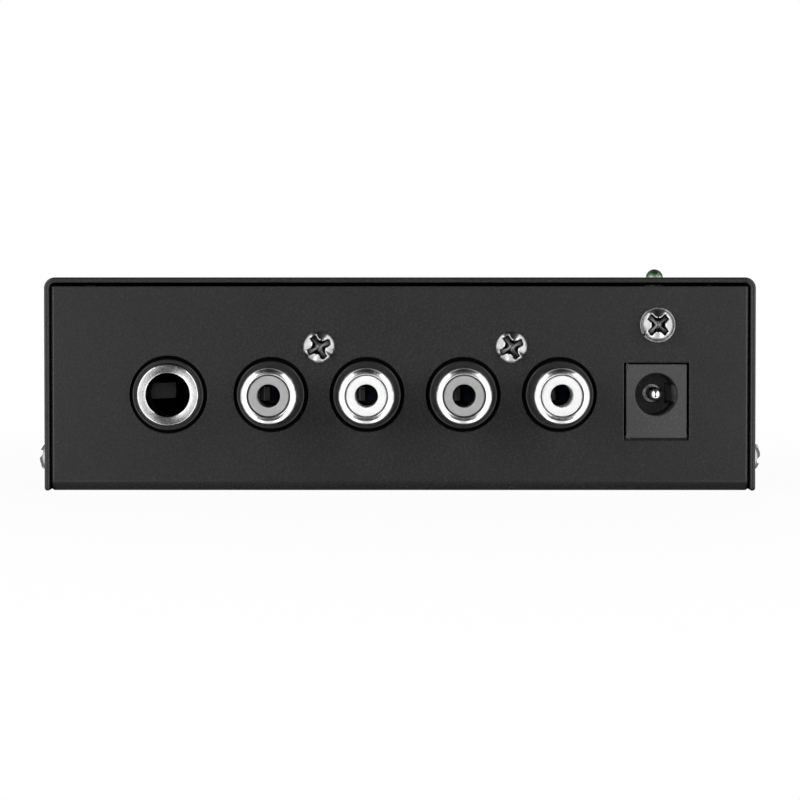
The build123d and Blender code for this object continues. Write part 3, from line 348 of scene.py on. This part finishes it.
def mesh_piece(name, build, node):
    """A mesh from a bmesh builder; it takes a CAD node's place, on its body, in its finish."""
    mesh = bpy.data.meshes.new(name)
    work = bmesh.new()
    build(work)
    bmesh.ops.remove_doubles(work, verts=work.verts, dist=1e-4)
    bmesh.ops.recalc_face_normals(work, faces=work.faces)
    bmesh.ops.scale(work, vec=(MM, MM, MM), verts=work.verts)
    work.to_mesh(mesh)
    work.free()
    mesh.shade_smooth()
    mesh.set_sharp_from_angle(angle=math.radians(32))
    piece = bpy.data.objects.new(name, mesh)
    scene.collection.objects.link(piece)
    mesh.materials.append(finishes[slots[node]])
    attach(piece, nodes[node]["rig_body"])
    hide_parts(node)
    return piece


def loft(work, rings, closed=False):
    """Quads between rings of equally many points; a ring of one point closes to a tip. Returns the rings."""
    made = [[work.verts.new(point) for point in ring] for ring in rings]
    pairs = list(zip(made, made[1:]))
    if closed:
        pairs.append((made[-1], made[0]))
    for first, second in pairs:
        count = max(len(first), len(second))
        for step in range(count):
            ahead = (step + 1) % count
            corners = [first[step % len(first)], first[ahead % len(first)]]
            corners += [second[ahead % len(second)], second[step % len(second)]]
            unique = list(dict.fromkeys(corners))
            if len(unique) > 2:
                work.faces.new(unique)
    return made


def turned_rings(outline, x, z, steps):
    """Rings about the Y axis through (x, z) for outline points of (radius, y)."""
    rings = []
    for radius, y in outline:
        if radius < 1e-6:
            rings.append([(x, y, z)])
            continue
        angles = [2 * math.pi * step / steps for step in range(steps)]
        rings.append([(x + radius * math.cos(angle), y, z + radius * math.sin(angle)) for angle in angles])
    return rings


def node_corners(node):
    """A CAD node's lowest and highest corners in millimetres."""
    low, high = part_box(node)
    return low / MM, high / MM


def turned_piece(name, node, outline, steps=96):
    """A piece turned about its CAD node's Y axis, from (radius, depth behind the node's front, rounding)."""
    low, high = node_corners(node)
    x = (low.x + high.x) / 2
    z = high.z - (high.x - low.x) / 2
    points = [(point.x, low.y + point.y) for point in rounded(outline)]
    hollow = min(radius for radius, _ in points) > 1e-6

    def build(work):
        loft(work, turned_rings(points, x, z, steps), closed=hollow)

    return mesh_piece(name, build, node)


def cross_reach(angle, half_span, half_slot, inner, outer):
    """Distance from the centre to the outline of a cross with rounded corners."""
    folded = abs((angle + math.pi / 4) % (math.pi / 2) - math.pi / 4)
    ray = Vector((math.cos(folded), math.sin(folded)))
    slope = math.tan(folded)

    def circle_hit(centre, radius, side):
        along = centre.dot(ray)
        return along + side * math.sqrt(max(0.0, along**2 - centre.length_squared + radius**2))

    if slope <= (half_slot - outer) / half_span:
        return half_span / ray.x
    if slope <= half_slot / (half_span - outer):
        return circle_hit(Vector((half_span - outer, half_slot - outer)), outer, 1)
    if slope <= half_slot / (half_slot + inner):
        return half_slot / ray.y
    return circle_hit(Vector((half_slot + inner, half_slot + inner)), inner, -1)


def screw_rings(head, height, shaft, length, turn, steps=216):
    """Rings of a domed cross-recess screw on +Z, from its shaft's end to the recess's bottom."""
    radius = head / 2
    rim = 0.36 * height
    rise = height - rim
    dome = (radius**2 + rise**2) / (2 * rise)
    depth = 0.85 * height
    wall_depth, foot_depth, bed_depth, tip_depth = 0.55 * depth, 0.9 * depth, 1.05 * depth, 1.1 * depth
    under_chamfer, rim_chamfer, mouth_chamfer, edge_drop = 0.06, 0.04, 0.1, 0.07
    wall_inset, foot_inset = 0.06, 0.16
    corner_radius, wing_radius = 0.18 * head, 0.12
    angles = [2 * math.pi * step / steps for step in range(steps)]

    def dome_height(r):
        return height - dome + math.sqrt(dome**2 - r**2)

    def cross(grow, inner):
        half_span = 0.39 * head + grow
        half_slot = 0.105 * head + grow
        return [cross_reach(angle - turn, half_span, half_slot, inner, wing_radius) for angle in angles]

    def ring(reaches, heights):
        return [
            (reach * math.cos(angle), reach * math.sin(angle), z)
            for angle, reach, z in zip(angles, reaches, heights)
        ]

    def level(reach, z):
        return ring([reach] * steps, [z] * steps)

    mouth = cross(mouth_chamfer, corner_radius - mouth_chamfer)
    edge = cross(0.0, corner_radius)
    wall = cross(-wall_inset, 0.16 * head)
    foot = cross(-foot_inset, 0.12 * head)
    rings = [[(0, 0, -length)], level(shaft / 2, -length), level(shaft / 2, 0)]
    rings += [level(radius - under_chamfer, 0), level(radius, under_chamfer)]
    rings.append(level(radius, rim - rim_chamfer))
    for share in (0.04, 0.15, 0.35, 0.6, 0.8, 1.0):
        reaches = [(1 - share) * (radius - 0.5 * rim_chamfer) + share * reach for reach in mouth]
        rings.append(ring(reaches, [dome_height(reach) for reach in reaches]))
    bed = [0.45 * min(reach, 0.24 * head) for reach in foot]
    rings.append(ring(edge, [dome_height(reach) - edge_drop for reach in edge]))
    rings.append(ring(wall, [dome_height(reach) - wall_depth for reach in edge]))
    rings.append(ring(foot, [height - foot_depth] * steps))
    rings.append(ring(bed, [height - bed_depth] * steps))
    rings.append([(0, 0, height - tip_depth)])
    return rings


def screw_piece(name, node, seats, head, height, shaft, length, turn):
    """Screws with their heads on the given (place, outward direction) seats; the recess turned by degrees."""

    def build(work):
        recess = work.verts.layers.float.new("recess")
        for place, outward in seats:
            side = Vector((0, 0, 1)).cross(outward).normalized()
            turned = Matrix((side, outward.cross(side), outward)).transposed()
            rings = screw_rings(head, height, shaft, length, math.radians(turn))
            made = loft(work, [[turned @ Vector(point) + place for point in ring] for ring in rings])
            # Painted shade: the last four rings, down in the recess, get weights by which the screw finish
            # darkens its colour.
            for depth, ring in zip((1.0, 1.0, 0.8, 0.6), made[-4:]):
                for vert in ring:
                    vert[recess] = depth

    mesh_piece(name, build, node)


def soften(node, width, segments=3, join_flats=False, weld_distance=0.001):
    """Rounds a CAD node's sharp edges by modifiers, so that they catch the light.

    The weld joins the faces' split corners, and a wider one also takes out steps too small for the rounding.
    """
    weld = nodes[node].modifiers.new("joined", "WELD")
    weld.merge_threshold = weld_distance * MM
    if join_flats:
        joiner = nodes[node].modifiers.new("flats", "DECIMATE")
        joiner.decimate_type = "DISSOLVE"
        joiner.angle_limit = math.radians(0.4)
    bevel = nodes[node].modifiers.new("edges", "BEVEL")
    bevel.width = width * MM
    bevel.segments = segments
    bevel.limit_method = "ANGLE"
    bevel.angle_limit = math.radians(40)
    bevel.harden_normals = True
    bevel.use_clamp_overlap = False


# ------------------------------------------------------------------------- pieces
def jack_bushing():
    """Bright bushing of the 6.35 mm jack: a wide turned face between small edge roundings."""
    low, high = node_corners("trs_bushing")
    outer = (high.x - low.x) / 2
    length = high.y - low.y
    bore, painted_shade_from = 3.25, 0.4
    outline = [(bore, 0.04, 0.12), (outer, 0, 0.14), (outer, length, 0.1), (bore, length, 0.1)]
    outline += [(bore, painted_shade_from, 0)]
    piece = turned_piece("trs_bushing_ring", "trs_bushing", outline, steps=160)
    axis_x, axis_z = (low.x + high.x) / 2, (low.z + high.z) / 2
    # Painted shade: the bore's surface deeper than the front gets weight 1, by which the chrome finish
    # darkens its colour.
    dark = piece.data.attributes.new("recess", "FLOAT", "POINT")
    for vert, shade in zip(piece.data.vertices, dark.data):
        place = vert.co / MM
        in_bore = math.hypot(place.x - axis_x, place.z - axis_z) < bore + 0.03
        shade.value = float(in_bore and place.y > low.y + 0.9 * painted_shade_from)


def phono_sleeves():
    """Nickel sleeves with a full rounded lip, and insulators with a softly broken hole edge."""
    for number in (1, 2, 3, 4):
        sleeve = f"rca_sleeve_{number}"
        low, high = node_corners(sleeve)
        outer, length = (high.x - low.x) / 2, high.y - low.y
        shoulder, foot, bore, lip = 7.5, 3.9, 3.15, 0.84
        outline = [(bore, 0, 0.12), (outer, 0, lip), (outer, shoulder, 0), (foot, shoulder, 0)]
        outline += [(foot, length, 0), (bore, length, 0)]
        turned_piece(f"{sleeve}_shell", sleeve, outline)

        insulator = f"rca_insulator_{number}"
        low, high = node_corners(insulator)
        base, length = (high.x - low.x) / 2, high.y - low.y
        tip, neck, hole = 2.95, 3.0, 1.7
        outline = [(hole, 0, 0.12), (tip, 0, 0.15), (tip, neck, 0), (base, neck, 0)]
        outline += [(base, length, 0), (hole, length, 0)]
        turned_piece(f"{insulator}_body", insulator, outline)


def power_pin():
    """Centre pin of the power socket, standing in a cupped foot."""
    low, high = node_corners("dc_pin")
    radius, nose = 1.025, 1.0
    length = high.y - low.y
    foot = (high.x - low.x) / 2
    foot_front, foot_back, rim_width = 8.0, 8.5, 0.17
    cup_floor = foot_front + 0.45
    outline = [(0, 0, 0), (radius, 0, nose), (radius, cup_floor, 0), (radius + 0.1, cup_floor, 0)]
    outline += [(foot - rim_width, foot_front, 0.05), (foot, foot_front, 0.08), (foot, foot_back, 0)]
    outline += [(radius, foot_back, 0), (radius, length, 0), (0, length, 0)]
    turned_piece("dc_pin_turned", "dc_pin", outline, steps=64)


def socket_screws():
    low, high = node_corners("rca_screws")
    head, height = 4.7, 1.7
    forward = Vector((0, -1, 0))
    seats = []
    for x in (low.x + head / 2, high.x - head / 2):
        seats.append((Vector((x, low.y + height, (low.z + high.z) / 2)), forward))
    screw_piece("rca_screw_heads", "rca_screws", seats, head, height, shaft=2.6, length=8.0, turn=28)


def ground_screw():
    low, high = node_corners("ground_screw")
    head, height = high.x - low.x, 1.8
    length = high.y - low.y - height
    seat = Vector(((low.x + high.x) / 2, low.y + height, (low.z + high.z) / 2))
    seats = [(seat, Vector((0, -1, 0)))]
    screw_piece("ground_screw_head", "ground_screw", seats, head, height, shaft=3.0, length=length, turn=45)


def cover_screws():
    low, high = node_corners("cover_screws")
    head, height = 5.0, 1.9
    seats = []
    for side, x in ((-1, low.x + height), (1, high.x - height)):
        for y in (low.y + head / 2, high.y - head / 2):
            seats.append((Vector((x, y, (low.z + high.z) / 2)), Vector((side, 0, 0))))
    screw_piece("cover_screw_heads", "cover_screws", seats, head, height, shaft=3.0, length=4.0, turn=25)


place_camera()
finishes = make_finishes()
jack_bushing()
phono_sleeves()
power_pin()
socket_screws()
ground_screw()
cover_screws()
for name, node in nodes.items():
    node.data.materials.clear()
    node.data.materials.append(finishes[slots[name]])
soften("chassis", 0.16, join_flats=True, weld_distance=0.035)
for name in ("trs_housing", "rca_output_housing", "rca_input_housing", "dc_housing"):
    soften(name, 0.2)
soften("ground_washer", 0.06, segments=2)


# -------------------------------------------------------------------- light and stage
def softbox(name, place, aim_at, width, height, power):
    """An area lamp; place, aim and sizes in millimetres. Its mirror image is left to the world."""
    data = bpy.data.lights.new(name, "AREA")
    data.shape = "RECTANGLE"
    data.size = width * MM
    data.size_y = height * MM
    data.energy = power
    lamp = bpy.data.objects.new(name, data)
    scene.collection.objects.link(lamp)
    lamp.location = Vector(place) * MM
    lamp.rotation_mode = "QUATERNION"
    lamp.rotation_quaternion = (Vector(aim_at) - Vector(place)).to_track_quat("-Z", "Y")
    lamp.visible_camera = False
    lamp.visible_glossy = False


class Nodes:
    """Short calls for number-valued nodes in a node tree."""

    def __init__(self, tree):
        self.tree = tree

    def add(self, kind):
        return self.tree.nodes.new(f"ShaderNode{kind}")

    def link(self, source, target):
        self.tree.links.new(source, target)

    def math(self, operation, *values):
        node = self.add("Math")
        node.operation = operation
        for socket, value in zip(node.inputs, values):
            if isinstance(value, (int, float)):
                socket.default_value = value
            else:
                self.link(value, socket)
        return node.outputs[0]

    def ease(self, source, low, high, to_low=0.0, to_high=1.0):
        node = self.add("MapRange")
        node.interpolation_type = "SMOOTHSTEP"
        for name, value in (("From Min", low), ("From Max", high), ("To Min", to_low), ("To Max", to_high)):
            node.inputs[name].default_value = value
        self.link(source, node.inputs["Value"])
        return node.outputs["Result"]

    def blend(self, factor, first, second):
        node = self.add("MixShader")
        for socket, value in zip(node.inputs, (factor, first, second)):
            self.link(value, socket)
        return node.outputs[0]


def studio_world():
    """White for the camera. What shines sees bright bands to the left and right of dark ones.

    The dark ones are a strip over the front half, from the ceiling down to the floor, a spot straight ahead
    and a weaker band across the rear half.
    """
    world = bpy.data.worlds.new("studio")
    scene.world = world
    world.use_nodes = True
    n = Nodes(world.node_tree)
    rays = n.add("LightPath").outputs
    direction = n.add("SeparateXYZ")
    n.link(n.add("TexCoord").outputs["Generated"], direction.inputs[0])
    x, y, z = direction.outputs
    aside = n.math("ABSOLUTE", x)
    steepness = n.math("SUBTRACT", n.math("ABSOLUTE", z), n.math("MULTIPLY", aside, 1.5))
    upright = n.ease(steepness, -0.06, 0.06)
    above_floor = n.ease(z, -0.78, -0.62)
    in_front = n.ease(y, 0.1, 0.5, 1.0, 0.0)
    strip = n.math("MULTIPLY", n.math("MULTIPLY", upright, above_floor), in_front)
    narrow = n.math("MULTIPLY", x, 1.4)
    from_axis = n.math("SQRT", n.math("ADD", n.math("MULTIPLY", narrow, narrow), n.math("MULTIPLY", z, z)))
    ahead = n.math("MULTIPLY", n.ease(from_axis, 0.13, 0.3, 1.0, 0.0), n.ease(y, -0.5, 0.0, 1.0, 0.0))
    rear_band = n.math("MULTIPLY", n.ease(y, 0.1, 0.4), n.ease(y, 0.75, 0.93, 1.0, 0.0))
    behind = n.math("MULTIPLY", rear_band, 0.85)
    dark = n.math("MAXIMUM", n.math("MAXIMUM", strip, ahead), behind)
    bright = n.math("MULTIPLY", n.ease(aside, 0.06, 0.5, 0.8, 2.9), n.ease(aside, 0.45, 0.65, 1.0, 0.4))
    left_over = n.math("SUBTRACT", 1.0, n.math("MULTIPLY", dark, 0.97))
    reflected = n.add("Background")
    n.link(n.math("MULTIPLY", bright, left_over), reflected.inputs["Color"])
    seen = n.add("Background")
    seen.inputs["Color"].default_value = (1.0, 1.0, 1.0, 1.0)
    ambient = n.tree.nodes["Background"]
    ambient.inputs["Color"].default_value = (0.05, 0.05, 0.05, 1.0)
    lit = n.blend(rays["Is Glossy Ray"], ambient.outputs[0], reflected.outputs[0])
    direct = n.math("MAXIMUM", rays["Is Camera Ray"], rays["Is Transmission Ray"])
    n.link(n.blend(direct, lit, seen.outputs[0]), n.tree.nodes["World Output"].inputs["Surface"])


def pale_floor():
    """White floor that keeps the object's shadow; its own light is seen but doesn't light the object.

    What shines sees through it to the world, and sees it dark close to the case.
    """
    reach, drop = 3.0, 0.05 * MM
    mesh = bpy.data.meshes.new("floor")
    corners = [(-reach, -reach, 0), (reach, -reach, 0), (reach, reach, 0), (-reach, reach, 0)]
    mesh.from_pydata(corners, [], [(0, 1, 2, 3)])
    floor = bpy.data.objects.new("floor", mesh)
    scene.collection.objects.link(floor)
    floor.location.z = -drop
    s = Shader("floor", (0.9, 0.9, 0.9), 0.6)
    n = Nodes(s.tree)
    rays = n.add("LightPath").outputs
    s.color(s.mix(rays["Is Camera Ray"], (0.15, 0.15, 0.15), (0.9, 0.9, 0.9)))
    distance = n.add("VectorMath")
    distance.operation = "LENGTH"
    n.link(s.place, distance.inputs[0])
    glow = n.add("Emission")
    own_light = n.ease(distance.outputs["Value"], 0.08, 0.3, 0.95, 1.0)
    glowing = n.math("MULTIPLY", own_light, rays["Is Camera Ray"])
    seen = n.blend(glowing, s.surface.outputs[0], glow.outputs[0])
    place = n.add("SeparateXYZ")
    n.link(s.place, place.inputs[0])
    beside = n.math("SUBTRACT", n.math("ABSOLUTE", place.outputs["X"]), case_half.x)
    before = n.math("SUBTRACT", n.math("ABSOLUTE", place.outputs["Y"]), case_half.y)
    open_floor = n.ease(n.math("MAXIMUM", beside, before), 1 * MM, 5 * MM)
    shadow = n.add("BsdfDiffuse")
    shadow.inputs["Color"].default_value = (0.5, 0.5, 0.5, 1.0)
    mirrored = n.blend(open_floor, shadow.outputs[0], n.add("BsdfTransparent").outputs[0])
    shown = n.blend(rays["Is Glossy Ray"], seen, mirrored)
    n.link(shown, s.tree.nodes["Material Output"].inputs["Surface"])
    mesh.materials.append(s.material)


softbox("left_softbox", (-230, -230, 140), panel_centre, width=130, height=270, power=0.88)
softbox("right_softbox", (240, -215, 120), panel_centre, width=120, height=240, power=0.56)
softbox("front_fill", (0, -475, 45), panel_centre, width=60, height=60, power=0.25)
softbox("rear_fill", (60, 420, 90), rear_centre, width=200, height=120, power=1.6)
studio_world()
pale_floor()
